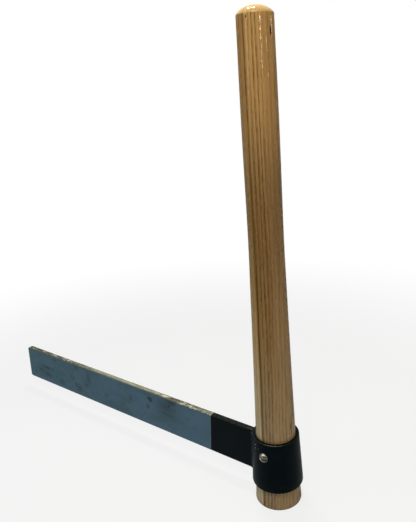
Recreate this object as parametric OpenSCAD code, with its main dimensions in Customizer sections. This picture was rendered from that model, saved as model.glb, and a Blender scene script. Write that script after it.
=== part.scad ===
// Froe: a splitting blade of flat steel bar, welded edge-up to a short tapered
// socket. A turned ash handle is driven up through the socket until its flared
// lower end jams, and one round-head wood screw keeps it from dropping out.
// The handle stands along +Z, the blade points along -X and its plain face
// looks along -Y. The origin is the centre of the handle's lower end.

/* [Handle] */
// Length from the lower end to the edge of the domed top
handle_len = 556; // [480:1:700]
// Height of the domed top above that edge
crown_h = 9.5; // [4:0.5:15]
// Diameter at the edge of the domed top
crown_d = 39.6; // [34:0.1:40]
// Angle up the domed top's oval at which it starts, higher for a sharper edge
crown_start = 17; // [5:1:40]
// Length of the light taper just below the domed top
crown_taper = 55; // [10:1:80]
// Diameter of the straight grip
grip_d = 40; // [36:0.5:44]
// Length of the straight grip
grip_len = 170; // [120:1:230]
// Power of the flare between socket and grip, higher for a quicker waist
flare_power = 1.5; // [1.2:0.1:3]
// Diameter of the flared lower end
end_d = 54.6; // [53:0.1:60]
// Chamfer around the lower end
end_chamfer = 1; // [0.5:0.1:3]
// Length of the lower end that shows below the socket
stub_len = 24.4; // [10:0.1:40]

/* [Socket] */
// Height of the socket tube
socket_h = 59.4; // [55:0.1:80]
// Outside diameter at the socket's lower rim
socket_base_d = 60.3; // [58:0.1:64]
// Outside diameter at the socket's upper rim
socket_mouth_d = 55.2; // [53:0.1:57]
// Wall of the socket tube
socket_wall = 4; // [3:0.1:5]
// Gap around the handle where it jams in the socket
seat_gap = 0.15; // [0.05:0.05:0.3]

/* [Blade] */
// Distance from the handle's axis to the blade's tip
blade_reach = 498; // [250:1:600]
// Height of the bar from the cutting edge to the struck back
blade_h = 50.8; // [40:0.1:54]
// Thickness of the bar
blade_t = 8; // [6:0.5:12]
// Height of the cutting edge above the socket's lower rim
blade_rise = 1.4; // [0:0.1:4]
// Radius that the tip's front corner rolls over
tip_r = 10.5; // [9:0.5:16]
// Length of bar over which that corner rolls
tip_roll = 7.4; // [2:0.1:8]
// Length of the corner knocked off the top of the tip
corner_len = 4; // [1:0.5:8]
// Height of that corner
corner_drop = 4.5; // [1:0.5:8]
// Height of the bevel ground on the rear face
bevel_h = 14; // [6:0.5:20]
// Flat left along the cutting edge
edge_t = 1; // [0.5:0.1:2]
// Length of bar left square between the socket and the bevel
ricasso_len = 30; // [15:1:60]

/* [Weld] */
// Leg of the bead in each corner between bar and socket
weld_leg = 6.5; // [3:0.1:7]
// Distance that each bead stops short of the bar's edges
weld_inset = 0.5; // [0.5:0.1:3]

/* [Screw] */
// Height of the screw above the socket's lower rim
screw_rise = 42.1; // [20:0.1:46]
// Direction of the screw around the handle, with -90 square to the blade
screw_angle = -90; // [-110:1:-40]
// Length under the head
screw_len = 25; // [18:0.5:30]
// Diameter of the plain shank and of the thread's crests
shank_d = 5.5; // [4:0.1:6]
// Diameter at the thread's roots
core_d = 3.8; // [2.5:0.1:3.9]
// Length of plain shank under the head
plain_len = 8; // [5:0.5:10]
// Distance from one thread crest to the next
thread_pitch = 2.3; // [1.5:0.1:3]
// Length of the tapered point
point_len = 5; // [3:0.5:7]
// Diameter of the round head
head_d = 11.5; // [9:0.1:13]
// Height of the round head
head_h = 3.6; // [3:0.1:4.5]
// Width of the driver slot
slot_w = 2.4; // [1:0.1:2.6]
// Depth of the driver slot at the crown of the head
slot_depth = 1.5; // [1:0.1:2.2]
// Turn of the driver slot from level
slot_turn = -10; // [-90:1:90]
// Gap around the shank in the socket's hole
hole_gap = 0.25; // [0.1:0.05:0.5]
// Gap around and beyond the screw in the handle's bore
bore_gap = 0.1; // [0.05:0.05:0.3]
// Gap under the screw's head
head_gap = 0.05; // [0.02:0.01:0.1]

/* [Hidden] */

$fn = 96;

// Cuts run this far past the faces they open
overcut = 1;
// Straight pieces that stand for the curve of the handle's flare
flare_steps = 18;
// Straight pieces that stand for the oval of the handle's domed top
crown_steps = 12;
// Straight pieces that stand for the round face of a weld bead
weld_steps = 6;

grip_r = grip_d / 2;
crown_r = crown_d / 2;
end_r = end_d / 2;
grip_top = handle_len - crown_taper;
grip_bottom = grip_top - grip_len;

socket_low = stub_len;
socket_top = socket_low + socket_h;
socket_slope = (socket_base_d - socket_mouth_d) / 2 / socket_h;
socket_lean = atan(socket_slope);

blade_low = socket_low + blade_rise;
bevel_top = blade_low + bevel_h;

head_r = head_d / 2;
head_ball_r = (pow(head_r, 2) + pow(head_h, 2)) / (2 * head_h);
shank_r = shank_d / 2;
core_r = core_d / 2;
thread_turns = floor((screw_len - plain_len - point_len) / thread_pitch);
thread_end = plain_len + thread_turns * thread_pitch;

// Outside radius of the socket at a height
function socket_r(z) = socket_base_d / 2 - (z - socket_low) * socket_slope;

// Inside radius of the socket at a height
function socket_bore_r(z) = socket_r(z) - socket_wall;

// Radius of the handle where it seats in the socket, at a height
function seat_r(z) = socket_bore_r(z) - seat_gap;

// Point of the flare between the socket and the grip, at a fraction of its length
function flare_point(part) =
    let (height = socket_top + (grip_bottom - socket_top) * part)
    let (fade = pow(1 - part, flare_power))
    [grip_r + (seat_r(socket_top) - grip_r) * fade, height];

// Point of the domed top, at a fraction of the way from its edge to its peak
function crown_point(part) =
    let (turn = crown_start + (90 - crown_start) * part)
    let (lift = (sin(turn) - sin(crown_start)) / (1 - sin(crown_start)))
    [crown_r * cos(turn) / cos(crown_start), handle_len + crown_h * lift];

// Puts a piece on the screw's axis, with +Z out of the socket's wall
module on_screw_axis() {
    rise = socket_low + screw_rise;
    rotate([0, 0, screw_angle])
        translate([socket_r(rise), 0, rise])
            rotate([0, 90 - socket_lean, 0])
                children();
}

// Hole along the screw's axis, from outside the head to a depth in the handle
module screw_hole(radius, depth) {
    on_screw_axis()
        translate([0, 0, -depth])
            cylinder(h = depth + head_h, r = radius);
}

// Solid cone inside the socket's outer wall, or inside its bore
module socket_cone(inset, overrun) {
    low = socket_low - overrun;
    high = socket_top + overrun;
    translate([0, 0, low])
        cylinder(h = high - low, r1 = socket_r(low) - inset, r2 = socket_r(high) - inset);
}

// Half outline of the turned handle, from its lower end to the peak of its domed top
module handle_outline() {
    polygon(concat(
        [[0, 0], [end_r - end_chamfer, 0], [end_r, end_chamfer]],
        [[seat_r(socket_low), socket_low]],
        [for (step = [0 : flare_steps]) flare_point(step / flare_steps)],
        [[grip_r, grip_top]],
        [for (step = [0 : crown_steps]) crown_point(step / crown_steps)]
    ));
}

module handle() {
    color("tan")
        difference() {
            rotate_extrude()
                handle_outline();
            screw_hole(shank_r + bore_gap, screw_len + bore_gap);
        }
}

module socket() {
    color([0.05, 0.06, 0.07])
        difference() {
            socket_cone(0, 0);
            socket_cone(socket_wall, overcut);
            screw_hole(shank_r + hole_gap, socket_wall * 2);
        }
}

// Plan of the bar, from the handle's axis to the tip, where the shears rolled the front corner
module bar_plan() {
    roll_x = tip_roll - blade_reach;
    half_t = blade_t / 2;
    translate([roll_x, -half_t])
        square([-roll_x, blade_t]);
    intersection() {
        translate([roll_x, tip_r - half_t])
            circle(r = tip_r);
        translate([-blade_reach, -half_t])
            square([tip_roll, blade_t]);
    }
}

// Wedge that the grinder takes off the rear face, along the cutting edge
module bevel_cut() {
    cut_len = blade_reach - socket_r(blade_low) - ricasso_len + overcut;
    half_t = blade_t / 2;
    lean = (blade_t - edge_t) / bevel_h;
    translate([-blade_reach - overcut, 0, 0])
        rotate([90, 0, 90])
            linear_extrude(height = cut_len)
                polygon([
                    [half_t + lean * overcut, bevel_top + overcut],
                    [edge_t - half_t - lean * overcut, blade_low - overcut],
                    [half_t + lean * overcut, blade_low - overcut]
                ]);
}

// Block over the corner knocked off the top of the tip
module corner_cut() {
    top = blade_low + blade_h;
    slope = corner_drop / corner_len;
    translate([-blade_reach, blade_t, top])
        rotate([90, 0, 0])
            linear_extrude(height = 2 * blade_t)
                polygon([
                    [-overcut, overcut],
                    [-overcut, -corner_drop - slope * overcut],
                    [corner_len + overcut / slope, overcut]
                ]);
}

// Ground bar before its root is cut to fit the socket
module bar() {
    difference() {
        translate([0, 0, blade_low])
            linear_extrude(height = blade_h)
                bar_plan();
        bevel_cut();
        corner_cut();
    }
}

module blade() {
    color([0.25, 0.33, 0.38])
        difference() {
            bar();
            socket_cone(0, overcut);
        }
}

// Section of a bead, with the corner at the origin and the bar along -X
module weld_section() {
    polygon(concat(
        [for (step = [0 : weld_steps])
            weld_leg * [-cos(90 * step / weld_steps), sin(90 * step / weld_steps)]
        ],
        [[socket_wall, weld_leg], [socket_wall, 0]]
    ));
}

// Bead in the corner on one side of the bar, leaning with the socket's wall
module weld_bead(side) {
    half_t = blade_t / 2;
    low = blade_low + weld_inset;
    low_x = -sqrt(pow(socket_r(low), 2) - pow(half_t, 2));
    difference() {
        translate([low_x, side * half_t, low])
            rotate([0, socket_lean, 0])
                linear_extrude(height = blade_h - 2 * weld_inset)
                    mirror([0, side < 0 ? 1 : 0])
                        weld_section();
        socket_cone(0, overcut);
    }
}

module weld_front() {
    color([0.07, 0.08, 0.09])
        weld_bead(-1);
}

module weld_rear() {
    color([0.07, 0.08, 0.09])
        weld_bead(1);
}

// Half outline of the shank, with one ridge for each turn of the thread
module shank_outline() {
    polygon(concat(
        [[0, 0], [shank_r, 0], [shank_r, -plain_len]],
        [for (turn = [0 : thread_turns - 1], crest = [0, 1])
            [
                crest == 1 ? shank_r : core_r,
                -plain_len - (turn + (crest + 1) / 2) * thread_pitch
            ]
        ],
        [[core_r, -thread_end - thread_pitch / 2], [0, -screw_len]]
    ));
}

// Domed head with its driver slot
module screw_head() {
    difference() {
        intersection() {
            translate([0, 0, head_h - head_ball_r])
                sphere(r = head_ball_r);
            cylinder(h = head_h + overcut, r = head_d);
        }
        rotate([0, 0, 90 + slot_turn])
            translate([-head_d, -slot_w / 2, head_h - slot_depth])
                cube([2 * head_d, slot_w, slot_depth + overcut]);
    }
}

module retaining_screw() {
    color("silver")
        on_screw_axis()
            translate([0, 0, head_gap]) {
                rotate_extrude()
                    shank_outline();
                screw_head();
            }
}

handle();
socket();
blade();
weld_front();
weld_rear();
retaining_screw();
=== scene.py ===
import math

import bmesh
import bpy
from mathutils import Matrix, Vector, noise


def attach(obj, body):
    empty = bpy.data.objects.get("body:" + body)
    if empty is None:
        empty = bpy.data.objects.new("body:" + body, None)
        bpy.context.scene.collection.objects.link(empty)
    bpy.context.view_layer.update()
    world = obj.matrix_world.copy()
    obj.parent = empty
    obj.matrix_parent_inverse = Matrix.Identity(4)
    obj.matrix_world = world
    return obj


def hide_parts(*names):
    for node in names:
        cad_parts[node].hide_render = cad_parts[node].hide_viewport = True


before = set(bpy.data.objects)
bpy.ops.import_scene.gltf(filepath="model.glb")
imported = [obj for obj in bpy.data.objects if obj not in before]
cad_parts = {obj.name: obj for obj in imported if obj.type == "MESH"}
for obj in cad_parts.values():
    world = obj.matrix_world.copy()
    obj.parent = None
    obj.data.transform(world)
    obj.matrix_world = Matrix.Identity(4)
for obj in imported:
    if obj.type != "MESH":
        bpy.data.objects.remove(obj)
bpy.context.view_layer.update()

# Sizes in millimetres, the same as in the part's source where it has them
MM = 0.001

# The handle: lower end, straight grip, domed top, swell left by sanding, drying check
END_R = 27.3
GRIP_LOW = 331.0
GRIP_TOP = 501.0
GRIP_R = 20.0
FLARE_POWER = 1.5
CROWN_EDGE = 556.0
CROWN_R = 19.8
CROWN_H = 9.5
CROWN_START = math.radians(17)
CROWN_RINGS = 16
SWELL = 0.22
SWELL_WAVE = 260.0
SWELL_START = 380.0
SWELL_LOW = 250.0
SWELL_TOP = 550.0
SWELL_FADE = 40.0
CHECK_PLACE = (19.35, -2.85, 538.0)
CHECK_HALF = (1.7, 0.75, 4.8)
CHECK_TURN = math.radians(-8.4)

# The socket
SOCKET_LOW = 24.4
SOCKET_TOP = 83.8
SOCKET_BASE_R = 30.15
SOCKET_MOUTH_R = 27.6
SOCKET_WALL = 4.0
SOCKET_SIDES = 160
SEAT_GAP = 0.15
RIM_ROUND = 0.8
FOOT_ROUND = 0.3
BORE_ROUND = 0.35

# The blade: bar, rolled tip, cut-off top corner, lifted foot of the tip, ground bevel, struck back,
# painted root
BLADE_REACH = 498.0
BLADE_LOW = 25.8
BLADE_TOP = 76.6
BLADE_HALF = 4.0
BAR_ROUND = 0.45
TIP_R = 10.5
TIP_ROLL = 7.4
TIP_FACETS = 9
CORNER_LEN = 4.0
CORNER_DROP = 4.5
FOOT_LEN = 11.0
FOOT_H = 6.0
FOOT_LIFT = 1.6
BEVEL_H = 14.0
EDGE_T = 1.0
BEVEL_END = -60.1
BEVEL_RUN_OUT = 9.0
BATTER_DEPTH = 3.0
SLICE_PITCH = 1.55
SLICES = 300
PAINT_END = -98.7
PAINT_SKEW = 0.065

# The weld beads
BEAD_LOW = 28.4
BEAD_TOP = 74.0
BEAD_GRAIN = 0.3
BEAD_BEDDING = 0.2
RIPPLES = 24

# The screw, its hole in the socket and its bore in the handle
SCREW_Z = 66.5
SCREW_LEN = 25.0
SHANK_R = 2.75
CORE_R = 1.9
PLAIN_LEN = 8.0
THREAD_PITCH = 2.3
THREAD_RINGS = 150
POINT_LEN = 5.0
HEAD_R = 5.75
HEAD_H = 3.6
HEAD_GAP = 0.05
HEAD_RINGS = 16
SLOT_W = 2.4
SLOT_DEPTH = 1.5
SLOT_TURN = math.radians(80)
HOLE_R = 3.0
BORE_R = 2.85
BORE_DEPTH = 25.1

SOCKET_SLOPE = (SOCKET_BASE_R - SOCKET_MOUTH_R) / (SOCKET_TOP - SOCKET_LOW)
SOCKET_LEAN = math.atan(SOCKET_SLOPE)


def socket_r(height):
    """Outside radius of the socket at a height."""
    return SOCKET_BASE_R - (height - SOCKET_LOW) * SOCKET_SLOPE


def seat_r(height):
    """Radius of the handle where it jams in the socket."""
    return socket_r(height) - SOCKET_WALL - SEAT_GAP


SCREW_PLACE = (
    Matrix.Rotation(math.radians(-90), 4, "Z")
    @ Matrix.Translation((socket_r(SCREW_Z) * MM, 0, SCREW_Z * MM))
    @ Matrix.Rotation(math.radians(90) - SOCKET_LEAN, 4, "Y")
)


# Working at the bench: selecting, turning, cutting
def clear_bench():
    if bpy.context.mode != "OBJECT":
        bpy.ops.object.mode_set(mode="OBJECT")
    bpy.ops.object.select_all(action="DESELECT")


def take_up(piece):
    clear_bench()
    piece.select_set(True)
    bpy.context.view_layer.objects.active = piece


def new_piece(name):
    """Names the primitive just added and puts its place into its mesh."""
    piece = bpy.context.active_object
    piece.name = name
    piece.data.name = name
    bpy.ops.object.transform_apply(location=True, rotation=True, scale=True)
    return piece


def open_mesh(piece):
    take_up(piece)
    bpy.ops.object.mode_set(mode="EDIT")


def close_mesh():
    """Merges doubles, turns every face outward and leaves edit mode."""
    bpy.ops.mesh.select_all(action="SELECT")
    bpy.ops.mesh.remove_doubles(threshold=0.002 * MM)
    bpy.ops.mesh.normals_make_consistent(inside=False)
    bpy.ops.object.mode_set(mode="OBJECT")


def pick(kind, passes):
    """Selects the open mesh's edges or faces whose vertices, in millimetres, all pass a test."""
    bpy.ops.mesh.select_mode(type=kind)
    bpy.ops.mesh.select_all(action="DESELECT")
    mesh = bpy.context.edit_object.data
    shape = bmesh.from_edit_mesh(mesh)
    for item in {"EDGE": shape.edges, "FACE": shape.faces}[kind]:
        item.select = all(passes(v.co / MM) for v in item.verts)
    shape.select_flush_mode()
    bmesh.update_edit_mesh(mesh)


def lathe(name, outline, sides, closed_ring=False):
    """Turns a piece about the Z axis through (radius, height) points, from bottom to top."""
    clear_bench()
    (radius, height), rest = outline[0], outline[1:]
    fill = "NOTHING" if closed_ring else "NGON"
    bpy.ops.mesh.primitive_circle_add(
        vertices=sides, radius=radius * MM, fill_type=fill, location=(0, 0, height * MM)
    )
    piece = new_piece(name)
    open_mesh(piece)
    bpy.ops.mesh.select_all(action="SELECT")
    for next_radius, next_height in rest + (outline[:1] if closed_ring else []):
        bpy.ops.mesh.extrude_region_move(
            TRANSFORM_OT_translate={"value": (0, 0, (next_height - height) * MM)}
        )
        grow = next_radius / radius
        bpy.ops.transform.resize(value=(grow, grow, 1), center_override=(0, 0, next_height * MM))
        radius, height = next_radius, next_height
    if not closed_ring:
        bpy.ops.mesh.merge(type="CENTER")
    close_mesh()
    return piece


def apply_step(piece, kind, settings):
    """Adds a modifier with its settings and applies it."""
    take_up(piece)
    step = piece.modifiers.new(kind.lower(), kind)
    for key, value in settings.items():
        setattr(step, key, value)
    bpy.ops.object.modifier_apply(modifier=step.name)


def cut(piece, cutter):
    """Takes the cutter's shape out of a piece and clears the cutter away."""
    apply_step(piece, "BOOLEAN", {"operation": "DIFFERENCE", "object": cutter, "solver": "EXACT"})
    bpy.data.objects.remove(cutter)


def on_screw_axis(piece):
    """Carries a piece made along Z to the screw's axis and puts that place into its mesh."""
    take_up(piece)
    piece.matrix_world = SCREW_PLACE
    bpy.ops.object.transform_apply(location=True, rotation=True, scale=True)


def drill(radius, depth):
    """Cutter for a hole along the screw's axis."""
    clear_bench()
    bpy.ops.mesh.primitive_cylinder_add(
        vertices=48,
        radius=radius * MM,
        depth=(depth + HEAD_H) * MM,
        location=(0, 0, (HEAD_H - depth) / 2 * MM),
    )
    bit = new_piece("drill")
    on_screw_axis(bit)
    return bit


def smooth_shading(piece, degrees):
    take_up(piece)
    bpy.ops.object.shade_smooth_by_angle(angle=math.radians(degrees))


# The handle
def grip_swell(height):
    """Slight waist and swell that hand sanding left in the grip."""
    rise = min(1.0, max(0.0, (height - SWELL_LOW) / SWELL_FADE))
    fall = min(1.0, max(0.0, (SWELL_TOP - height) / SWELL_FADE))
    return SWELL * rise * fall * math.sin(2 * math.pi * (height - SWELL_START) / SWELL_WAVE)


def handle_r(height):
    """Radius of the handle above the socket."""
    if height < GRIP_LOW:
        fade = (1 - (height - SOCKET_TOP) / (GRIP_LOW - SOCKET_TOP)) ** FLARE_POWER
        radius = GRIP_R + (seat_r(SOCKET_TOP) - GRIP_R) * fade
    elif height < GRIP_TOP:
        radius = GRIP_R
    else:
        radius = GRIP_R + (CROWN_R - GRIP_R) * (height - GRIP_TOP) / (CROWN_EDGE - GRIP_TOP)
    return radius + grip_swell(height)


def handle_outline():
    rounded_end = [(END_R - 1, 0), (END_R - 0.5, 0.13), (END_R - 0.14, 0.5), (END_R, 1)]
    stub = [(END_R + (seat_r(SOCKET_LOW) - END_R) * z / SOCKET_LOW, z) for z in range(5, 25, 5)]
    seat = [(seat_r(z), z) for z in (SOCKET_LOW, 33, 41, 49, 57, 65, 73, SOCKET_TOP)]
    shaft = [(handle_r(z), z) for z in range(89, 555, 6)]
    edge = [(CROWN_R, CROWN_EDGE - 0.7), (CROWN_R - 0.12, CROWN_EDGE - 0.15)]
    dome = []
    for step in range(CROWN_RINGS):
        turn = CROWN_START + (math.pi / 2 - CROWN_START) * (step + 0.4) / CROWN_RINGS
        lift = (math.sin(turn) - math.sin(CROWN_START)) / (1 - math.sin(CROWN_START))
        dome.append((CROWN_R * math.cos(turn) / math.cos(CROWN_START), CROWN_EDGE + CROWN_H * lift))
    peak = [(0.3, CROWN_EDGE + CROWN_H - 0.002)]
    return rounded_end + stub + seat + shaft + edge + dome + peak


def drying_check():
    """Boat-shaped cutter for the short drying check near the top of the handle."""
    clear_bench()
    bpy.ops.mesh.primitive_uv_sphere_add(
        segments=24,
        ring_count=16,
        radius=1,
        location=Vector(CHECK_PLACE) * MM,
        rotation=(0, 0, CHECK_TURN),
        scale=Vector(CHECK_HALF) * MM,
    )
    return new_piece("check")


def make_handle():
    handle = lathe("ash_handle", handle_outline(), sides=128)
    cut(handle, drill(BORE_R, BORE_DEPTH))
    cut(handle, drying_check())
    smooth_shading(handle, degrees=28)
    return handle


# The socket
def outer_half(spot):
    """Whether a point of the socket lies beyond the middle of its wall."""
    return spot.xy.length > socket_r(spot.z) - SOCKET_WALL / 2


def make_socket():
    outer = [(socket_r(z), z) for z in (SOCKET_LOW, 37, 49, 61, 73, SOCKET_TOP)]
    inner = [(radius - SOCKET_WALL, z) for radius, z in reversed(outer)]
    socket = lathe("tapered_socket", outer + inner, SOCKET_SIDES, closed_ring=True)
    open_mesh(socket)
    ends = (SOCKET_LOW, SOCKET_TOP)
    pick("EDGE", lambda p: abs(p.z - SOCKET_TOP) < 0.01 and outer_half(p))
    bpy.ops.mesh.bevel(offset=RIM_ROUND * MM, segments=4)
    pick("EDGE", lambda p: abs(p.z - SOCKET_LOW) < 0.01 and outer_half(p))
    bpy.ops.mesh.bevel(offset=FOOT_ROUND * MM, segments=3)
    pick("EDGE", lambda p: min(abs(p.z - end) for end in ends) < 0.01 and not outer_half(p))
    bpy.ops.mesh.bevel(offset=BORE_ROUND * MM, segments=2)
    close_mesh()
    cut(socket, drill(HOLE_R, SOCKET_WALL * 2))
    smooth_shading(socket, degrees=30)
    return socket


# The blade
def bevel_wedge():
    """Block that the grinder takes off the rear face, running out near the socket."""
    clear_bench()
    length = BLADE_REACH + BEVEL_END + 2
    bpy.ops.mesh.primitive_cube_add(
        size=1,
        location=((BEVEL_END - length / 2) * MM, BLADE_HALF * MM, (BLADE_LOW + BEVEL_H / 2) * MM),
        scale=(length * MM, 2 * MM, (BEVEL_H + 4) * MM),
    )
    wedge = new_piece("bevel_wedge")
    lean = (2 * BLADE_HALF - EDGE_T) / BEVEL_H
    open_mesh(wedge)
    for height in (BLADE_LOW - 2, BLADE_LOW + BEVEL_H + 2):
        front = BLADE_HALF - (BLADE_LOW + BEVEL_H - height) * lean
        pick("EDGE", lambda p: abs(p.z - height) < 0.1 and p.y < BLADE_HALF)
        bpy.ops.transform.translate(value=(0, (front - BLADE_HALF + 1) * MM, 0))
        pick("EDGE", lambda p: abs(p.z - height) < 0.1 and abs(p.y - BLADE_HALF - 1) < 0.1)
        bpy.ops.transform.translate(value=(0, 4 * MM, 0))
    pick("EDGE", lambda p: p.x > BEVEL_END - 1 and p.y < BLADE_HALF)
    bpy.ops.transform.translate(value=(-BEVEL_RUN_OUT * MM, 0, 0))
    close_mesh()
    return wedge


def socket_plug():
    """Cutter that copes the blade's root, or a bead, to the socket's wall."""
    clear_bench()
    low, high = SOCKET_LOW - 4, SOCKET_TOP + 4
    bpy.ops.mesh.primitive_cone_add(
        vertices=SOCKET_SIDES,
        radius1=socket_r(low) * MM,
        radius2=socket_r(high) * MM,
        depth=(high - low) * MM,
        location=(0, 0, (low + high) / 2 * MM),
    )
    return new_piece("socket_plug")


def slice_mesh(place, direction, keep_both=True):
    """Lays one more row of edges across the open mesh, or planes off what lies beyond it."""
    bpy.ops.mesh.select_all(action="SELECT")
    bpy.ops.mesh.bisect(
        plane_co=Vector(place) * MM,
        plane_no=direction,
        use_fill=not keep_both,
        clear_outer=not keep_both,
    )


def roll_tip(blade):
    """Rounds the front corner of the tip, where the shears rolled it, and planes off its top corner."""
    sweep = math.asin(TIP_ROLL / TIP_R)
    open_mesh(blade)
    for facet in range(TIP_FACETS):
        turn = sweep * (facet + 0.5) / TIP_FACETS
        toward = Vector((-math.sin(turn), -math.cos(turn), 0))
        centre = Vector((TIP_ROLL - BLADE_REACH, TIP_R - BLADE_HALF, 0))
        slice_mesh(centre + toward * TIP_R, toward, keep_both=False)
    for lean, drop in ((0.72, 0.45), (1.0, 0.0), (1.4, 0.5)):
        slope = CORNER_DROP / CORNER_LEN * lean
        middle = (CORNER_LEN / 2 - BLADE_REACH, 0, BLADE_TOP - CORNER_DROP / 2 - drop)
        slice_mesh(middle, (-slope, 0, 1), keep_both=False)
    close_mesh()


def batter_back(blade):
    """Sinks the rough cut and the marks of use into the struck back, and rounds the tip's corners."""
    for vertex in blade.data.vertices:
        spot = vertex.co / MM
        near_tip = max(0.0, 1 - (spot.x + BLADE_REACH) / FOOT_LEN)
        foot = max(0.0, 1 - (spot.z - BLADE_LOW) / FOOT_H)
        vertex.co.z += FOOT_LIFT * foot * near_tip**2 * MM
        depth = max(0.0, 1 - (BLADE_TOP - spot.z) / BATTER_DEPTH)
        if depth == 0 or spot.x > PAINT_END:
            continue
        long_wave = noise.noise(Vector((spot.x / 21, spot.y / 9, 3.7)))
        chatter = noise.noise(Vector((spot.x / 5.5, spot.y / 3.2, 9.1)))
        pit = noise.noise(Vector((spot.x / 2.7, spot.y / 2.2, 1.3)))
        sink = max(0.0, 0.05 + 0.1 * long_wave + 0.2 * chatter + 0.14 * pit)
        vertex.co.z -= depth**2 * sink * MM
        side = math.copysign(1, spot.y) if abs(spot.y) > 3.4 else 0
        vertex.co.y -= side * depth**2 * max(0.0, 0.04 + 0.3 * chatter + 0.2 * pit) * MM


def make_blade():
    clear_bench()
    bpy.ops.mesh.primitive_cube_add(
        size=1,
        location=(-BLADE_REACH / 2 * MM, 0, (BLADE_LOW + BLADE_TOP) / 2 * MM),
        scale=(BLADE_REACH * MM, 2 * BLADE_HALF * MM, (BLADE_TOP - BLADE_LOW) * MM),
    )
    blade = new_piece("bar_blade")
    roll_tip(blade)
    cut(blade, bevel_wedge())
    apply_step(blade, "BEVEL", {"width": BAR_ROUND * MM, "segments": 3, "limit_method": "ANGLE"})
    open_mesh(blade)
    for step in range(1, SLICES):
        slice_mesh((-BLADE_REACH + step * SLICE_PITCH, 0, 0), (1, 0, 0))
    for across in (-3.2, -2.2, -1.1, 0, 1.1, 2.2, 3.2):
        slice_mesh((0, across, 0), (0, 1, 0))
    for height in (28, 30, 32, BLADE_TOP - BATTER_DEPTH, BLADE_TOP - 1.8, BLADE_TOP - 0.9):
        slice_mesh((0, 0, height), (0, 0, 1))
    close_mesh()
    batter_back(blade)
    cut(blade, socket_plug())
    smooth_shading(blade, degrees=32)
    return blade


# The welds
def weld_corner(height, side):
    """Point of the corner between bar and socket at a height."""
    return Vector((-math.sqrt(socket_r(height) ** 2 - BLADE_HALF**2), side * BLADE_HALF, height))


def make_puddle():
    """One ripple of a weld bead: a flattened drop with a low brow."""
    clear_bench()
    bpy.ops.mesh.primitive_uv_sphere_add(segments=28, ring_count=18, radius=MM)
    puddle = new_piece("puddle")
    open_mesh(puddle)
    bpy.ops.mesh.select_all(action="SELECT")
    bpy.ops.transform.resize(value=(5.5, 5.5, 1.5))
    pick("FACE", lambda p: p.z > 0.5)
    bpy.ops.transform.resize(value=(0.88, 0.88, 1), center_override=(0, 0, 0))
    close_mesh()
    return puddle


def make_drop():
    """One drop of spatter: round outside, spread where it froze against the wall."""
    clear_bench()
    bpy.ops.mesh.primitive_ico_sphere_add(subdivisions=3, radius=MM)
    drop = new_piece("drop")
    open_mesh(drop)
    pick("FACE", lambda p: p.z < 0.1)
    bpy.ops.transform.resize(value=(1.2, 1.2, 0.6), center_override=(0, 0, 0))
    close_mesh()
    return drop


def lay_copy(model, place):
    """Puts a copy of a modelled shape, with its own mesh, at a place."""
    copy = model.copy()
    copy.data = model.data.copy()
    bpy.context.scene.collection.objects.link(copy)
    copy.matrix_world = place
    return copy


def make_weld(name, side, spatter):
    puddle = make_puddle()
    ripples = []
    for step in range(RIPPLES):
        wander = noise.noise(Vector((step * 0.61, side * 5.3, 0.4)))
        spot = weld_corner(BEAD_LOW + step * (BEAD_TOP - BEAD_LOW) / (RIPPLES - 1), side)
        grow = Matrix.Scale(0.97 + 0.07 * wander, 4)
        tilt = Matrix.Rotation(math.radians(24 + 14 * wander), 4, (0.7 * side, 0.7, 0))
        ripples.append(lay_copy(puddle, Matrix.Translation(spot * MM) @ tilt @ grow))
    bpy.data.objects.remove(puddle)
    take_up(ripples[0])
    for ripple in ripples:
        ripple.select_set(True)
    bpy.ops.object.join()
    bead = new_piece(name)
    apply_step(bead, "REMESH", {"mode": "VOXEL", "voxel_size": BEAD_GRAIN * MM})
    apply_step(bead, "SMOOTH", {"factor": 0.5, "iterations": 2})
    open_mesh(bead)
    bpy.ops.mesh.select_all(action="SELECT")
    bpy.ops.mesh.bisect(
        plane_co=(0, side * (BLADE_HALF - BEAD_BEDDING) * MM, 0),
        plane_no=(0, side, 0),
        use_fill=True,
        clear_inner=True,
    )
    close_mesh()
    cut(bead, socket_plug())
    model_drop = make_drop()
    drops = []
    for x, y, z, radius in spatter:
        outward = Vector((x, y, 0)).to_track_quat("Z", "Y").to_matrix().to_4x4()
        place = Matrix.Translation(Vector((x, y, z)) * MM) @ outward @ Matrix.Scale(radius, 4)
        drops.append(lay_copy(model_drop, place))
    bpy.data.objects.remove(model_drop)
    take_up(bead)
    for drop in drops:
        drop.select_set(True)
    bpy.ops.object.join()
    smooth_shading(bead, degrees=50)
    return bead


# The screw
def thread_r(angle, height):
    """Radius of the screw below its plain shank, at an angle and a height under the head."""
    point = min(1.0, max(0.0, (height + SCREW_LEN) / POINT_LEN))
    run_out = min(1.0, max(0.0, (height + PLAIN_LEN + 2) / 2))
    core = (CORE_R * point + 0.1) + (SHANK_R - CORE_R - 0.1) * run_out
    crest = max(core, (SHANK_R - 0.2) * point**0.6 + 0.2)
    phase = (angle / (2 * math.pi) - height / THREAD_PITCH) % 1.0
    ridge = max(0.0, 1 - abs(phase - 0.5) / 0.2)
    return core + (crest - core) * ridge


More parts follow.
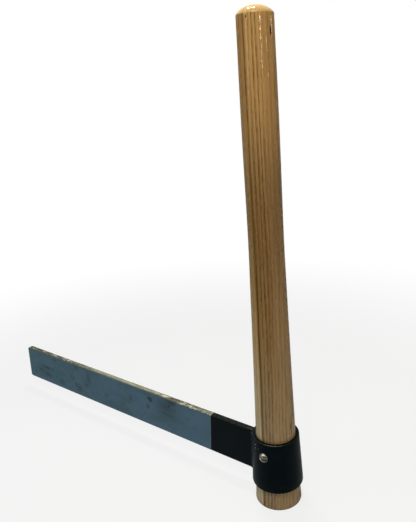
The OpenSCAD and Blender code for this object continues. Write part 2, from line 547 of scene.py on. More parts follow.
def make_screw():
    rise = (SCREW_LEN - PLAIN_LEN) / THREAD_RINGS
    thread = [(SHANK_R, -SCREW_LEN + rise * step) for step in range(THREAD_RINGS + 1)]
    shank = [(SHANK_R, -PLAIN_LEN / 2), (SHANK_R, -0.25), (SHANK_R + 0.25, HEAD_GAP)]
    rim = [(HEAD_R - 0.25, HEAD_GAP), (HEAD_R - 0.06, HEAD_GAP + 0.06)]
    ball = (HEAD_R**2 + HEAD_H**2) / (2 * HEAD_H)
    widest = math.asin(HEAD_R / ball)
    dome = []
    for step in range(HEAD_RINGS):
        turn = widest * (1 - (step + 0.4) / HEAD_RINGS)
        dome.append((ball * math.sin(turn), HEAD_GAP + HEAD_H - ball * (1 - math.cos(turn))))
    screw = lathe("round_head_screw", thread + shank + rim + dome, sides=64)
    for vertex in screw.data.vertices:
        spot = vertex.co / MM
        if spot.z < -PLAIN_LEN + 0.01:
            angle = math.atan2(spot.y, spot.x)
            scale = thread_r(angle, spot.z) / max(spot.xy.length, 0.001)
            vertex.co.x *= scale
            vertex.co.y *= scale
    clear_bench()
    slot_floor = HEAD_GAP + HEAD_H - SLOT_DEPTH
    bpy.ops.mesh.primitive_cube_add(
        size=1,
        location=(0, 0, (slot_floor + 2) * MM),
        rotation=(0, 0, SLOT_TURN),
        scale=(4 * HEAD_R * MM, SLOT_W * MM, 4 * MM),
    )
    cut(screw, new_piece("slot"))
    on_screw_axis(screw)
    smooth_shading(screw, degrees=35)
    return screw


# Finishes: sums on node sockets are written as plain expressions
class Wire:
    """One output of a finish's nodes."""

    def __init__(self, finish, socket):
        self.finish = finish
        self.socket = socket

    def also(self, output):
        """Another output of the same node."""
        return Wire(self.finish, self.socket.node.outputs[output])

    def maths(self, operation, *terms):
        return self.finish.node("ShaderNodeMath", {"operation": operation}, dict(enumerate(terms)))

    def __add__(self, other):
        return self.maths("ADD", self, other)

    def __radd__(self, other):
        return self.maths("ADD", other, self)

    def __sub__(self, other):
        return self.maths("SUBTRACT", self, other)

    def __rsub__(self, other):
        return self.maths("SUBTRACT", other, self)

    def __mul__(self, other):
        return self.maths("MULTIPLY", self, other)

    def __rmul__(self, other):
        return self.maths("MULTIPLY", other, self)


class Finish:
    """A node tree of a material or of the world, and the ways to add to it."""

    def __init__(self, owner):
        owner.use_nodes = True
        self.owner = owner
        self.tree = owner.node_tree
        self.tree.nodes.clear()

    def node(self, kind, settings=(), sockets=(), output=0):
        """Adds a node, sets it up, then gives its sockets their values or links."""
        made = self.tree.nodes.new(kind)
        for key, value in dict(settings).items():
            setattr(made, key, value)
        for key, value in dict(sockets).items():
            if isinstance(value, Wire):
                self.tree.links.new(value.socket, made.inputs[key])
            else:
                made.inputs[key].default_value = value
        return Wire(self, made.outputs[output]) if made.outputs else made

    def spot(self):
        """Place on the piece in millimetres, the same at every pose."""
        metres = self.node("ShaderNodeTexCoord", output="Object")
        return self.node("ShaderNodeVectorMath", {"operation": "SCALE"}, {0: metres, "Scale": 1000})

    def parts(self, vector):
        x = self.node("ShaderNodeSeparateXYZ", sockets={0: vector})
        return x, x.also("Y"), x.also("Z")

    def fit(self, vector, centre, half, turn=(0, 0, 0)):
        """A place measured from a centre, in its own half sizes and turn."""
        sockets = {"Vector": vector, "Location": centre, "Rotation": turn, "Scale": half}
        return self.node("ShaderNodeMapping", {"vector_type": "TEXTURE"}, sockets)

    def far(self, vector):
        """Length of a vector."""
        return self.node("ShaderNodeVectorMath", {"operation": "LENGTH"}, {0: vector}, "Value")

    def cloud(self, vector, size, detail=2.0, rough=0.5, shift=(0, 0, 0)):
        """Smooth noise from 0 to 1 with lumps of the given size along each axis."""
        lumps = self.fit(vector, shift, size)
        sockets = {"Vector": lumps, "Scale": 1.0, "Detail": detail, "Roughness": rough}
        return self.node("ShaderNodeTexNoise", sockets=sockets)

    def step(self, value, low, high):
        """Soft step from 0 at low to 1 at high, falling if high is the lower."""
        sockets = {"Value": value, "From Min": low, "From Max": high}
        return self.node("ShaderNodeMapRange", {"interpolation_type": "SMOOTHSTEP"}, sockets)

    def paint(self, under, over, share):
        """Lays one colour over another by a share from 0 to 1."""
        settings = {"data_type": "RGBA", "clamp_factor": True}
        return self.node("ShaderNodeMix", settings, {0: share, 6: colour(under), 7: colour(over)}, 2)

    def tint(self, under, over, share):
        """Multiplies one colour by another by a share from 0 to 1."""
        settings = {"data_type": "RGBA", "blend_type": "MULTIPLY", "clamp_factor": True}
        return self.node("ShaderNodeMix", settings, {0: share, 6: colour(under), 7: colour(over)}, 2)

    def relief(self, height):
        """Normal of a surface raised by a height in millimetres."""
        return self.node("ShaderNodeBump", sockets={"Distance": MM, "Height": height})

    def surface(self, sockets):
        shader = self.node("ShaderNodeBsdfPrincipled", sockets=sockets)
        self.node("ShaderNodeOutputMaterial", sockets={"Surface": shader})


def colour(value):
    return value if isinstance(value, Wire) else (*value, 1.0)


def new_finish(name):
    return Finish(bpy.data.materials.new(name))


ASH_PALE = (0.450, 0.274, 0.106)
ASH_WARM = (0.350, 0.200, 0.068)
ASH_OLIVE = (0.345, 0.225, 0.088)
ASH_RING = (0.088, 0.042, 0.008)
ASH_PORE = (0.085, 0.04, 0.012)
ASH_GREY = (0.38, 0.295, 0.185)
ASH_DOME = (0.455, 0.310, 0.122)
GRIP_SHADE_TINT = (0.69, 0.635, 0.53)
HEART_TINT = (0.85, 0.87, 0.92)
COOL_FLANK_TINT = (0.88, 0.95, 1.18)
SAPWOOD_SHADE_TINT = (0.84, 0.72, 0.56)
SAPWOOD_LIGHT_TINT = (1.4, 1.45, 1.45)
VARNISH_POOL_TINT = (0.95, 0.86, 0.70)
SMUDGE_BLACK = (0.07, 0.062, 0.05)
KNOT_BROWN = (0.05, 0.022, 0.006)
CHECK_SHADE = (0.012, 0.006, 0.002)
PITH = (-99.0, -13.9, 0.0)
DARK_RING = 96.9
RINGS_PER_MM = 0.151
RINGS_CLOSING = 0.0063


def ash_finish():
    """Varnished straight-grained ash, with growth rings round a pith outside the handle."""
    ash = new_finish("varnished_ash")
    spot = ash.spot()
    x, y, z = ash.parts(spot)
    wander = ash.cloud(spot, (38, 38, 210), 1.0) - 0.5
    drift = ash.cloud(spot, (9, 9, 70), 2.0, shift=(40, 7, 0)) - 0.5
    ripple = ash.cloud(spot, (3.2, 3.2, 24), 2.0, shift=(0, 30, 0)) - 0.5
    from_pith = ash.far(ash.fit(spot, PITH, (1, 1, 1e6)))
    grain = from_pith + wander * 1.4 + drift * 1.5 + ripple * 0.9 - DARK_RING
    outward = grain.maths("MAXIMUM", grain, 0.0)
    year = grain * RINGS_PER_MM + outward * outward * RINGS_CLOSING + 0.5
    ring = year.maths("FLOOR", year)
    season = year - ring - 0.5
    vigour = ash.node("ShaderNodeTexWhiteNoise", {"noise_dimensions": "1D"}, {"W": ring})
    sapwood = ash.step(grain, -0.8, -2.6)
    open_face = ash.step(grain - ash.step(z, 160, 270) * 4.0, 11, 15.5)
    open_face = open_face * (1 - ash.step(z, 250, 150) * 0.25)
    early = ash.step(season.maths("ABSOLUTE", season), 0.29, 0.07) * (vigour * 0.35 + 0.65)
    broken = ash.cloud(spot, (1.7, 1.7, 11), 2.0, shift=(0, 0, 31))
    early = early * (1 - open_face * 0.6) * (1 - sapwood * 0.6)
    early = early * (0.5 + ash.step(broken, 0.36, 0.6) * 0.5)
    half_year = year * 2.6
    half_season = half_year.maths("FRACT", half_year)
    fine_line = ash.step(half_season, 0.0, 0.2) * ash.step(half_season, 0.6, 0.2)
    streak = ash.cloud(spot, (1.7, 1.7, 90), 2.0, shift=(3, 0, 0))
    fibre = ash.cloud(spot, (0.5, 0.5, 26), 3.0, 0.6)
    broad = ash.cloud(spot, (13, 13, 330), 1.0, shift=(0, 9, 50))
    pore = ash.step(ash.cloud(spot, (0.55, 0.55, 6.0), 0.0), 0.6, 0.7) * (0.25 + early * 0.75)
    dark_ring = ash.step(grain.maths("ABSOLUTE", grain), 3.2, 0.6)

    wood = ash.paint(ASH_PALE, ASH_WARM, ash.step(streak, 0.32, 0.68) * 0.7 + broad * 0.3)
    wood = ash.paint(wood, ASH_OLIVE, sapwood * 0.75)
    wood = ash.paint(wood, ASH_WARM, open_face * 0.4)
    wood = ash.paint(wood, ASH_GREY, ash.step(z, 230, 90) * (0.6 + sapwood * 0.4))
    fine_line = fine_line * ash.step(streak, 0.28, 0.6)
    wood = ash.paint(wood, ASH_RING, fine_line * (0.42 - open_face * 0.22))
    wood = ash.paint(wood, ASH_RING, early * (0.48 + streak * 0.34))
    wood = ash.paint(wood, ASH_RING, dark_ring * (0.2 + streak * 0.4))
    wood = ash.paint(wood, ASH_RING, ash.step(fibre, 0.53, 0.78) * 0.4)
    wood = ash.paint(wood, ASH_PORE, pore * 0.55)
    flank = (sapwood + ash.step(grain, 15, 19) * 0.75) * ash.step(z, 345, 225)
    # Painted shade: the grip between heights 90 and 460, away from the flanks, is tinted darker and
    # warmer, for the light falling off below the top.
    grip_shade = ash.step(z, 460, 350) * ash.step(z, 90, 290) * (1 - flank)
    wood = ash.tint(wood, GRIP_SHADE_TINT, grip_shade)
    heart = ash.step(grain, -1.0, 2.0) * ash.step(grain, 18, 12) * ash.step(z, 480, 400)
    wood = ash.tint(wood, HEART_TINT, heart)
    # A cooler, bluer tint on the flank past the open face, between heights 100 and 480.
    cool_flank = ash.step(grain, 14.5, 17) * ash.step(z, 480, 360) * ash.step(z, 100, 210)
    wood = ash.tint(wood, COOL_FLANK_TINT, cool_flank)
    # Painted shade and painted light on the sapwood flank: darker and browner above height 330, paler
    # and greyer below height 280.
    wood = ash.tint(wood, SAPWOOD_SHADE_TINT, sapwood * ash.step(z, 330, 520))
    wood = ash.tint(wood, SAPWOOD_LIGHT_TINT, sapwood * ash.step(z, 280, 125))
    # Painted shade: on the shoulder toward +X and +Y the pale end-grain colour starts higher, leaving
    # that edge darker.
    shoulder_shade = ash.step(x * 0.803 + y * 0.596, 15.5, 19.5) * 2.4
    dome = ash.step(z - shoulder_shade, CROWN_EDGE - 0.4, CROWN_EDGE + 0.2)
    wood = ash.paint(wood, ASH_DOME, dome * (0.86 - early * 0.3))

    knot = ash.far(ash.fit(spot, (1.8, -19.5, 552.6), (1.1, 2, 1.9)))
    check = ash.far(ash.fit(spot, CHECK_PLACE, (2.4, 1.0, 5.2), (0, 0, CHECK_TURN)))
    smudge = ash.far(ash.fit(spot, (23.0, -2.4, 101), (6, 3.0, 5.5))) + fibre * 0.5
    puddled = ash.step(z, SOCKET_TOP + 5, SOCKET_TOP)
    wood = ash.tint(wood, VARNISH_POOL_TINT, puddled * ash.step(z, SOCKET_LOW, SOCKET_LOW + 5))
    wood = ash.paint(wood, SMUDGE_BLACK, ash.step(smudge, 1.25, 0.4) * 0.6)
    wood = ash.paint(wood, KNOT_BROWN, ash.step(knot, 1.1, 0.55) * 0.9)
    # Painted shade: the drying check and a narrow rim around it are coloured near black, as the shade
    # inside the crack.
    wood = ash.paint(wood, CHECK_SHADE, ash.step(check, 1.15, 0.8))

    varnish = ash.cloud(spot, (3.6, 3.6, 3.0), 1.0)
    filled = ash.step(ash.cloud(spot, (1.5, 1.5, 4.0), 2.0, shift=(0, 0, -3)), 0.44, 0.58)
    gloss = (0.02 + filled * 0.4) * (1 - pore * 0.6) * (1 - dark_ring * 0.9)
    height = varnish * 0.014 - early * 0.012 - pore * 0.03 + fibre * 0.006
    ash.surface(
        {
            "Base Color": wood,
            "Roughness": 0.5 + fibre * 0.16,
            "Specular IOR Level": 0.0,
            "Coat Weight": gloss * (1 - dome) + dome * 0.42,
            "Coat Roughness": 0.09,
            "Normal": ash.relief(height),
        }
    )
    return ash.owner


PAINT_BLACK = (0.0020, 0.0042, 0.0054)
PAINT_BROWN = (0.010, 0.0088, 0.0062)
PAINT_SHEEN = (0.62, 0.95, 1.15, 1.0)
PAINT_THIN = (0.045, 0.038, 0.024)
PAINT_CREST = (0.03, 0.027, 0.02)
SHEEN_TINT = (0.3, 0.72, 1.0, 1.0)
BARE_STEEL = (0.30, 0.295, 0.25)


def paint_layer(finish, spot):
    """Colour, roughness and height of brushed-on black paint."""
    mottle = finish.cloud(spot, (14, 14, 14), 3.0)
    peel = finish.cloud(spot, (1.1, 1.1, 1.1), 2.0)
    sag = finish.cloud(spot, (7, 7, 16), 1.0, shift=(5, 5, 0))
    black = finish.paint(PAINT_BLACK, PAINT_BROWN, finish.step(mottle, 0.45, 0.85) * 0.5)
    rough = 0.34 + mottle * 0.12 + peel * 0.06
    return black, rough, peel * 0.010 + sag * 0.03


def socket_finish():
    """Black paint on the socket, worn thin along its upper rim; its bare front stretch is also a
    painted highlight.
    """
    black = new_finish("socket_paint")
    spot = black.spot()
    z = black.parts(spot)[2]
    paint, rough, height = paint_layer(black, spot)
    scuff = black.cloud(spot, (2.2, 2.2, 1.2), 3.0, 0.65)
    reach = black.far(black.fit(spot, (0, 0, 0), (1, 1, 1e6)))
    # Partly worn paint, partly painted highlight: the rim shows bare steel all round, most on the
    # stretch around (12, -25), where it stands for a glint.
    highlight_spot = black.step(black.far(black.fit(spot, (12, -25, SOCKET_TOP), (13, 9, 20))), 1.1, 0.5)
    rim_flat = SOCKET_MOUTH_R - RIM_ROUND
    on_rim = black.step(z, SOCKET_TOP - 0.9, SOCKET_TOP - 0.3)
    on_rim = on_rim * black.step(reach, rim_flat - 0.2, rim_flat + 0.1)
    scuffed_and_glint = highlight_spot * black.step(scuff, 0.36, 0.56) * 0.75 + black.step(scuff, 0.5, 0.66) * 0.2
    rim = on_rim * (0.1 + scuffed_and_glint)
    foot = black.step(z, SOCKET_LOW + 0.7, SOCKET_LOW + 0.1) * black.step(scuff, 0.56, 0.7)
    worn_and_glint = rim * 0.6 + foot * 0.4
    black.surface(
        {
            "Base Color": black.paint(paint, BARE_STEEL, worn_and_glint * 0.55),
            "Roughness": rough + worn_and_glint * 0.1,
            "Metallic": worn_and_glint * 0.6,
            "Specular IOR Level": 0.022,
            "Specular Tint": PAINT_SHEEN,
            "Sheen Weight": 0.032,
            "Sheen Roughness": 0.35,
            "Sheen Tint": SHEEN_TINT,
            "Normal": black.relief(height - worn_and_glint * 0.02),
        }
    )
    return black.owner


def weld_finish():
    """Black paint over the ripples of a bead, with steel showing on the spatter."""
    black = new_finish("weld_paint")
    spot = black.spot()
    paint, rough, height = paint_layer(black, spot)
    x = black.parts(spot)[0]
    bright = black.step(black.cloud(spot, (1.3, 1.3, 1.3), 2.0), 0.5, 0.66)
    away = black.step(x, -25.6, -25.0)
    shine = away * (0.45 + bright * 0.55)
    crest = black.step(black.cloud(spot, (4, 4, 2.2), 2.0), 0.4, 0.7) * (1 - away)
    paint = black.paint(paint, PAINT_CREST, crest * 0.7)
    black.surface(
        {
            "Base Color": black.paint(paint, BARE_STEEL, shine * 0.6),
            "Roughness": rough,
            "Metallic": shine * 0.5,
            "Specular IOR Level": 0.07,
            "Specular Tint": PAINT_SHEEN,
            "Normal": black.relief(height),
        }
    )
    return black.owner


SCALE_BLUE = (0.071, 0.123, 0.174)
SCALE_TIP = (0.069, 0.114, 0.153)
SCALE_DARK = (0.032, 0.044, 0.049)
SCALE_GREEN = (0.056, 0.096, 0.117)
SCALE_PALE = (0.105, 0.150, 0.185)
BACK_PALE = (0.375, 0.375, 0.300)
BACK_OLIVE = (0.112, 0.11, 0.074)
BACK_BROWN = (0.076, 0.063, 0.040)
BACK_BRIGHT = (0.72, 0.69, 0.52)
RUST = (0.13, 0.088, 0.036)
BACK_TIP_TINT = (0.48, 0.48, 0.50)
BACK_ROOT_TINT = (0.78, 0.78, 0.78)
GROUND_STEEL = (0.42, 0.42, 0.40)
GROUND_STROKE = (0.24, 0.235, 0.22)

# Stains on the blade's front face: place along X and Z, half sizes, turn in degrees, strength
FACE_MARKS = [
    (-448, 52.6, 17, 2.8, 3, 0.6),
    (-441, 51.0, 6, 2.6, 8, 0.45),
    (-429.5, 52.4, 3.8, 2.3, 0, 0.6),
    (-470, 53.0, 2.8, 1.8, 0, 0.45),
    (-461.5, 45.2, 4.6, 3.0, 0, 0.5),
    (-455, 43.0, 24, 11, 2, 0.42),
    (-442, 39.0, 11, 4.6, 3, 0.5),
    (-421, 70.4, 5.5, 3.4, 0, 0.55),
    (-477.5, 38.3, 4.5, 3.0, 0, 0.25),
    (-366, 71.8, 6.8, 3.0, 0, 0.6),
    (-395.5, 72.0, 1.8, 1.2, 0, 0.6),
    (-338, 60.5, 6.0, 12, -10, 0.55),
    (-378.4, 51.7, 8.0, 5.5, 0, 0.35),
    (-371, 43.2, 3.2, 2.6, 0, 0.9),
    (-370, 39.4, 2.2, 3.6, -10, 0.7),
    (-362, 37.6, 8.0, 8.5, 25, 0.6),
    (-344.5, 48.0, 5.2, 5.4, 0, 0.5),
    (-349.5, 35.4, 6.0, 1.3, 31, 0.55),
    (-323.4, 34.6, 1.9, 1.5, 0, 0.6),
    (-298, 45.4, 6.5, 4.8, 0, 0.35),
    (-406.7, 37.5, 6.5, 6.5, 0, 0.4),
    (-205.4, 66.0, 6.2, 5.0, 0, 1.2),
    (-204.4, 65.5, 1.5, 1.3, 0, -0.6),
    (-209, 62.8, 3.2, 2.8, 0, -0.9),
    (-210.2, 53.8, 4.2, 5.0, 12, 0.55),
    (-248.3, 48.4, 1.6, 1.4, 0, 0.7),
    (-252, 59.0, 2.0, 1.5, 0, 0.5),
    (-244.8, 56.8, 5.0, 8.0, 0, 0.3),
    (-263.3, 65.7, 1.5, 1.2, 0, 0.4),
    (-176, 63.0, 24, 17, 10, 0.55),
    (-163, 73.0, 13, 5.5, 0, 0.75),
    (-169, 66.2, 2.4, 2.2, 0, 0.9),
    (-167.4, 51.4, 7.5, 1.2, 8, 0.55),
    (-178.5, 53.0, 8.0, 1.4, 10, 0.45),
    (-146.2, 63.3, 1.5, 1.1, 0, 0.45),
    (-145.8, 49.4, 2.6, 1.4, 0, 0.35),
]
# Marks on the struck back: place along X and Y, half sizes, share of bright or, below 0, brown steel
BACK_MARKS = [
    (-481, -0.8, 3.5, 2.0, 0.35),
    (-465, -0.6, 6.5, 3.0, -0.4),
    (-454, 0.8, 4.0, 2.0, 0.3),
    (-438, 0.2, 6.0, 3.0, -0.5),
    (-424, 1.4, 5.0, 2.0, 0.35),
    (-411, 0.4, 4.5, 3.0, -0.4),
    (-403, 2.0, 2.5, 1.8, 0.4),
    (-395, 1.8, 3.0, 2.0, -0.5),
    (-387.5, 1.4, 2.6, 2.4, 0.45),
    (-338, 0.4, 2.6, 2.6, -0.55),
    (-192, 1.0, 2.8, 1.6, 0.4),
    (-179, 0.4, 6.5, 2.4, 0.6),
    (-161, 0.6, 12.0, 5.0, -0.7),
    (-147, -3.0, 4.0, 1.2, 0.5),
    (-123, -2.4, 4.5, 1.2, 0.45),
]
# Rust spots on the front face: place along X and Z, half size
RUST_SPOTS = [(-352, 28.0, 2.2), (-208, 49.2, 1.7), (-300, 31.0, 0.9), (-120, 28.0, 1.0)]


def blade_finish():
    """Mill scale, the bare struck back, the ground bevel and the painted root."""
    steel = new_finish("blade_steel")
    spot = steel.spot()
    x, y, z = steel.parts(spot)
    facing = steel.node("ShaderNodeNewGeometry", output="Normal")
    across, forward, up = steel.parts(facing)
    haze = steel.cloud(spot, (48, 20, 20), 3.0, 0.55)
    bloom = steel.cloud(spot, (9, 9, 7), 4.0, 0.6)
    grit = steel.cloud(spot, (0.7, 0.7, 0.7), 2.0)

    scale = steel.paint(SCALE_BLUE, SCALE_TIP, steel.step(x, -150, -400))
    scale = steel.paint(scale, SCALE_GREEN, steel.step(haze, 0.42, 0.7) * 0.8)
    scale = steel.paint(scale, SCALE_DARK, steel.step(bloom, 0.5, 0.8) * 0.3)
    stain = 0.0
    for mark_x, mark_z, half_x, half_z, turn, strength in FACE_MARKS:
        place = steel.fit(
            spot, (mark_x, -BLADE_HALF, mark_z), (half_x, 6, half_z), (0, math.radians(turn), 0)
        )
        ragged, fringe, heart = (1.0, 1.35, -0.1) if half_x > 5 else (0.5, 1.1, 0.3)
        stain = steel.step(steel.far(place) + (bloom - 0.5) * ragged, fringe, heart) * strength + stain
    scale = steel.paint(scale, SCALE_DARK, stain)
    for rust_x, rust_z, half in RUST_SPOTS:
        place = steel.fit(spot, (rust_x, -BLADE_HALF, rust_z), (half, 3, half))
        scale = steel.paint(scale, RUST, steel.step(steel.far(place) + grit * 0.6, 1.3, 0.6) * 0.8)
    rear = steel.step(y, 1, 3)
    blot = steel.cloud(spot, (19, 9, 9), 4.0, 0.6, shift=(11, 0, 5))
    drag = steel.cloud(spot, (60, 9, 0.8), 3.0, 0.6)
    scale = steel.paint(scale, SCALE_DARK, steel.step(blot, 0.54, 0.66) * rear * 0.75)
    scale = steel.paint(scale, SCALE_PALE, steel.step(drag, 0.56, 0.7) * rear * 0.6)
    # Faces turned toward the tip's end get dark scale: partly the darker scale of the sheared end and
    # rolled corner, partly painted shade on faces turned from the light.
    rolled = steel.step(across, -0.2, -0.55)
    scale = steel.paint(scale, SCALE_DARK, rolled * 0.85)

    chatter = steel.cloud(spot, (2.4, 1.4, 6), 4.0, 0.65)
    score = steel.cloud(spot, (16, 0.8, 8), 3.0, 0.6)
    tear = steel.cloud(spot, (26, 3.5, 10), 3.0, 0.6)
    tip_rust = steel.step(x, -400, -478)
    rough_end = steel.step(x, -330, -372) + steel.step(x, -205, -150)
    bare = steel.paint(BACK_PALE, BACK_OLIVE, steel.step(score, 0.42, 0.64) * 0.8)
    bare = steel.paint(bare, BACK_OLIVE, steel.step(tear, 0.5, 0.66) * (0.25 + rough_end * 0.5))
    bare = steel.paint(bare, BACK_BROWN, steel.step(chatter, 0.46, 0.6) * (0.3 + rough_end * 0.5))
    rusted = steel.step(tear + tip_rust * 0.2, 0.55, 0.7) * (0.3 + tip_rust * 0.5)
    bare = steel.paint(bare, BACK_BROWN, rusted)
    bare = steel.tint(bare, BACK_TIP_TINT, steel.step(x, -290, -400))
    bare = steel.tint(bare, BACK_ROOT_TINT, steel.step(x, -235, -190))
    glint = steel.step(steel.cloud(spot, (3.4, 1.3, 5), 2.0, shift=(7, 3, 0)), 0.57, 0.65)
    bare = steel.paint(bare, BACK_BRIGHT, glint * (0.1 + rough_end * 0.7) * (1 - tip_rust * 0.7))
    chip = steel.cloud(spot, (7.5, 2.6, 6), 2.0, shift=(2, 1, 0))
    chipped = steel.step(x, -330, -372) + steel.step(x, -215, -190) * steel.step(x, -130, -155)
    bare = steel.paint(bare, BACK_BROWN, steel.step(chip, 0.5, 0.4) * chipped * 0.4)
    bare = steel.paint(bare, BACK_BRIGHT, steel.step(chip, 0.57, 0.66) * chipped * 0.3)
    for mark_x, mark_y, half_x, half_y, share in BACK_MARKS:
        place = steel.fit(spot, (mark_x, mark_y, BLADE_TOP), (half_x, half_y, 4))
        struck = steel.step(steel.far(place) + (chatter - 0.5) * 0.9, 1.25, 0.45)
        bare = steel.paint(bare, BACK_BRIGHT if share > 0 else BACK_BROWN, struck * abs(share))
    # Brown along the front half of the struck back toward the tip: partly a burr, partly painted shade
    # along the front edge.
    burr_and_edge_shade = steel.step(y + (tear - 0.5) * 2.4, -1.5, -2.8) * steel.step(x, -140, -180)
    bare = steel.paint(bare, BACK_BROWN, burr_and_edge_shade * 0.85)
    far_edge = steel.step(y + (chatter - 0.5) * 2.0, 2.7, 3.6)
    bare = steel.paint(bare, BACK_OLIVE, far_edge * 0.6)
    on_back = steel.step(up + (chatter - 0.5) * 0.9, 0.45, 0.75) * (1 - rolled)

    stroke = steel.cloud(spot, (0.5, 4, 60), 3.0, 0.6)
    ground = steel.paint(GROUND_STEEL, GROUND_STROKE, steel.step(stroke, 0.35, 0.75))
    on_bevel = steel.step(up, -0.2, -0.35) * steel.step(forward, 0.3, 0.5)
    on_edge = steel.step(up, -0.86, -0.95) * steel.step(x, BEVEL_END - 5, BEVEL_END - 14)
    sharpened = on_bevel + on_edge

    metal = steel.paint(scale, bare, on_back)
    metal = steel.paint(metal, ground, sharpened)
    past_edge = x + (bloom - 0.5) * 0.3 - (z - BLADE_LOW) * PAINT_SKEW - PAINT_END
    tape = steel.step(past_edge, -2.4, -1.2) * (1 - on_back)
    metal = steel.paint(metal, SCALE_PALE, tape * 0.55)

    paint, paint_rough, paint_height = paint_layer(steel, spot)
    painted = steel.step(past_edge, -0.2, 0.3)
    thin = steel.step(up, 0.5, 0.9) * steel.step(chatter, 0.42, 0.7)
    nick = steel.step(up, 0.3, 0.7) * steel.step(tear + chatter * 0.4, 0.8, 0.9)
    paint = steel.paint(paint, PAINT_THIN, thin * 0.7)
    paint = steel.paint(paint, BARE_STEEL, nick * 0.5)

    bare_share = on_back * 0.2 + sharpened * 0.45
    scale_rough = 0.46 + bloom * 0.12 + stain * 0.08
    rough = scale_rough + (on_back - sharpened) * 0.08
    scale_height = bloom * 0.02 + grit * 0.008
    back_height = (chatter * 0.3 + score * 0.12) * on_back + stroke * 0.02 * sharpened
    bare_side = 1 - painted
    steel.surface(
        {
            "Base Color": steel.paint(metal, paint, painted),
            "Roughness": rough * bare_side + (paint_rough + thin * 0.15) * painted,
            "Metallic": (0.5 + bare_share) * bare_side + nick * painted * 0.4,
            "Specular IOR Level": 0.03,
            "Specular Tint": PAINT_SHEEN,
            "Normal": steel.relief(
                (scale_height + back_height) * bare_side
                + (paint_height + chatter * 0.22 * on_back + 0.05) * painted
            ),
        }
    )
    return steel.owner


PLATE_PALE = (0.19, 0.18, 0.135)
PLATE_DULL = (0.11, 0.104, 0.078)
PLATE_UPPER_SHADE = (0.13, 0.122, 0.094)
PLATE_CORNER_SHADE = (0.10, 0.096, 0.075)
PLATE_HIGHLIGHT = (0.36, 0.345, 0.305)
PLATE_LOWER_REFLECTION = (0.10, 0.118, 0.132)
PLATE_LIP_HIGHLIGHT = (0.62, 0.59, 0.47)
SHADE_LINE_BLACK = (0.015, 0.014, 0.011)
SLOT_DIRT_AND_SHADE = (0.012, 0.011, 0.009)


def screw_finish():
    """Bright plated steel, with painted highlights, painted shade and a painted reflection laid on the
    head, and dirt and painted shade in the driver slot.
    """
    plate = new_finish("plated_steel")
    spot = plate.spot()
    centre = SCREW_PLACE.to_translation() / MM
    turn = SCREW_PLACE.to_euler("XYZ")
    local = plate.fit(spot, tuple(centre), (1, 1, 1), tuple(turn))
    turned = plate.fit(local, (0, 0, 0), (1, 1, 1), (0, 0, SLOT_TURN))
    along, beside, out = plate.parts(turned)
    scratch = plate.cloud(turned, (3.0, 0.25, 3.0), 3.0, 0.6)
    dull = plate.cloud(spot, (1.6, 1.6, 1.6), 2.0)
    outside = plate.step(out, 0.4, 0.7)
    off_line = beside.maths("ABSOLUTE", beside)
    in_slot = plate.step(off_line, SLOT_W / 2 + 0.12, SLOT_W / 2 - 0.1) * outside
    slot_dirt_and_shade = in_slot * plate.step(beside, -1.1, -0.4)
    metal = plate.paint(PLATE_PALE, PLATE_DULL, plate.step(dull, 0.45, 0.75))
    # Painted shade: the upper half of the head is darkened, and its quarter above the slot's far half
    # darker still.
    metal = plate.paint(metal, PLATE_UPPER_SHADE, plate.step(beside, 1.2, 2.6) * 0.85)
    corner = plate.step(along, 0.3, 1.5) * plate.step(beside, 0.9, 1.6)
    metal = plate.paint(metal, PLATE_CORNER_SHADE, corner)
    # Painted highlight: a bright patch near the top of the head.
    highlight_spot = plate.far(plate.fit(turned, (-0.45, 4.75, 1.3), (1.5, 1.1, 3)))
    metal = plate.paint(metal, PLATE_HIGHLIGHT, plate.step(highlight_spot, 1.2, 0.5))
    # Painted shade: a dark line above the slot, running parallel to it.
    shade_line = beside + along * 0.09 - 3.6
    shade_line = plate.step(shade_line.maths("ABSOLUTE", shade_line), 0.55, 0.25)
    shade_line = shade_line * plate.step(along, -1.3, -0.5) * plate.step(along, 4.8, 4.0) * outside
    metal = plate.paint(metal, SHADE_LINE_BLACK, shade_line * 0.9)
    # Painted reflection: the head below the slot is tinted blue-grey.
    metal = plate.paint(metal, PLATE_LOWER_REFLECTION, plate.step(beside, -1.1, -1.6) * 0.9)
    # Painted highlight: a bright lip along the lower edge of the slot, toward one end.
    lip_highlight = plate.step(along, -0.6, -1.8) * plate.step(beside, 0.5, 0.0)
    metal = plate.paint(metal, PLATE_LIP_HIGHLIGHT, lip_highlight * plate.step(beside, -2.2, -1.5) * outside * 0.8)
    # Dirt and painted shade darken the driver slot, all but its lower edge.
    metal = plate.paint(metal, SLOT_DIRT_AND_SHADE, slot_dirt_and_shade * 0.95)
    plate.surface(
        {
            "Base Color": metal,
            "Metallic": 1.0,
            "Roughness": 0.2 + scratch * 0.14 + in_slot * 0.3,
            "Normal": plate.relief(scratch * 0.006),
        }
    )
    return plate.owner


def dress(piece, material, body, node):
    """Gives a piece its finish and the body it rides on, and hides the CAD node it stands for."""
    piece.data.materials.clear()
    piece.data.materials.append(material)
    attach(piece, body)
    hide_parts(node)


# Drops of spatter beside the front bead: X, Y, Z and radius
SPATTER = [
    (-12.6, -24.95, 77.3, 0.55),
    (-12.8, -25.05, 72.8, 0.6),
    (-7.7, -26.95, 74.2, 0.5),
    (-15.6, -23.3, 70.0, 0.4),
]
REAR_SPATTER = [(-14.0, 24.5, 58.0, 0.5), (-10.5, 27.0, 41.0, 0.45)]

weld_black = weld_finish()
dress(make_handle(), ash_finish(), "froe", "handle")
dress(make_socket(), socket_finish(), "froe", "socket")
dress(make_blade(), blade_finish(), "froe", "blade")
dress(make_weld("front_weld", -1, SPATTER), weld_black, "froe", "weld_front")
dress(make_weld("rear_weld", 1, REAR_SPATTER), weld_black, "froe", "weld_rear")
dress(make_screw(), screw_finish(), "screw", "retaining_screw")


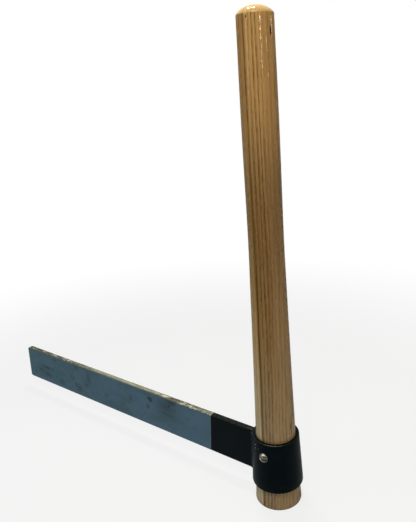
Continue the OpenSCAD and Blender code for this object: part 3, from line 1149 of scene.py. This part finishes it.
# The floor, the light and the camera, in metres
FLOOR_SPAN = 16
FLOOR_DROP = 0.0003
FLOOR_GREY = (0.50, 0.54, 0.57, 1)
AIR_BLUE = (0.82, 0.96, 1.06, 1)
WHITE = (1, 1, 1, 1)


def white_rays(finish):
    """1 for rays that should see a white background, 0 for rays that carry light."""
    camera = finish.node("ShaderNodeLightPath", output="Is Camera Ray")
    seen = camera.maths("MAXIMUM", camera, camera.also("Is Glossy Ray"))
    return seen.maths("MAXIMUM", seen, camera.also("Is Transmission Ray"))


def make_floor():
    clear_bench()
    bpy.ops.mesh.primitive_plane_add(size=FLOOR_SPAN, location=(0, 0, -FLOOR_DROP))
    floor = new_piece("floor")
    pale = new_finish("pale_floor")
    spot = pale.spot()
    distance = pale.far(pale.fit(spot, (-170, 20, 0), (1, 1, 1)))
    share = white_rays(pale) * (0.8 + 0.2 * pale.step(distance, 350, 950))
    lit = pale.node("ShaderNodeBsdfDiffuse", sockets={"Color": FLOOR_GREY})
    glow = pale.node("ShaderNodeEmission", sockets={"Color": WHITE, "Strength": 1.0})
    both = pale.node("ShaderNodeMixShader", sockets={0: share, 1: lit, 2: glow})
    pale.node("ShaderNodeOutputMaterial", sockets={"Surface": both})
    floor.data.materials.append(pale.owner)


def make_sky():
    world = bpy.data.worlds.new("studio")
    bpy.context.scene.world = world
    sky = Finish(world)
    seen = white_rays(sky)
    air = sky.node("ShaderNodeBackground", sockets={"Color": AIR_BLUE, "Strength": 0.13})
    white = sky.node("ShaderNodeBackground", sockets={"Color": WHITE, "Strength": 1.0})
    both = sky.node("ShaderNodeMixShader", sockets={0: seen, 1: air, 2: white})
    sky.node("ShaderNodeOutputWorld", sockets={"Surface": both})


def hang_lamp(name, place, aim, size, watts, tone):
    lamp = bpy.data.lights.new(name, "AREA")
    lamp.shape = "RECTANGLE"
    lamp.size, lamp.size_y = size
    lamp.energy = watts
    lamp.color = tone
    holder = bpy.data.objects.new(name, lamp)
    bpy.context.scene.collection.objects.link(holder)
    holder.location = place
    holder.rotation_euler = (Vector(aim) - Vector(place)).to_track_quat("-Z", "Y").to_euler()


# Lamps: name, place, aim, size, watts and tone
LAMPS = [
    ("ceiling_lamp", (-0.263, 0.302, 1.072), (0, 0, 0.5), (0.9, 0.9), 2.6, (1.0, 0.88, 0.68)),
    ("left_glint", (-0.292, 0.143, 1.183), (0, 0, 0.56), (0.09, 0.09), 2.5, (1.0, 0.92, 0.78)),
    ("right_glint", (-0.163, 0.174, 1.218), (0, 0, 0.56), (0.09, 0.09), 2.5, (1.0, 0.92, 0.78)),
    ("front_lamp", (0.22, -0.42, 1.0), (0, 0, 0.5), (0.36, 0.36), 4.3, (1.0, 0.86, 0.66)),
    ("left_fill", (-0.55, -0.75, 0.75), (-0.12, 0, 0.3), (0.6, 0.6), 2.8, (0.90, 1.0, 1.04)),
    ("right_strip", (1.405, -0.766, 0.715), (0, 0, 0.55), (0.14, 0.2), 4.0, (1.0, 0.88, 0.66)),
    ("side_glint", (1.498, 0.19, 0.629), (0, 0, 0.55), (0.07, 0.17), 0.9, (1.0, 0.88, 0.68)),
    ("rear_strip", (0.97, 1.27, 0.77), (0, 0, 0.56), (0.10, 0.14), 0.85, (1.0, 0.90, 0.74)),
]
LENS = 37.7106
LENS_SHIFT = (-0.0306, -0.1075)
EYE_PLACE = (0.31877, -0.49058, 0.47378)
EYE_TURN = (1.378968, 0.063201, 0.638762)


def set_camera():
    """The photograph's view."""
    lens = bpy.data.cameras.new("view")
    lens.sensor_width = 36.0
    lens.lens = LENS
    lens.shift_x, lens.shift_y = LENS_SHIFT
    lens.clip_start = 0.01
    eye = bpy.data.objects.new("view", lens)
    bpy.context.scene.collection.objects.link(eye)
    eye.location = EYE_PLACE
    eye.rotation_euler = EYE_TURN
    bpy.context.scene.camera = eye
    bpy.context.scene.view_settings.view_transform = "Standard"


make_floor()
make_sky()
for lamp in LAMPS:
    hang_lamp(*lamp)
set_camera()

clear_bench()
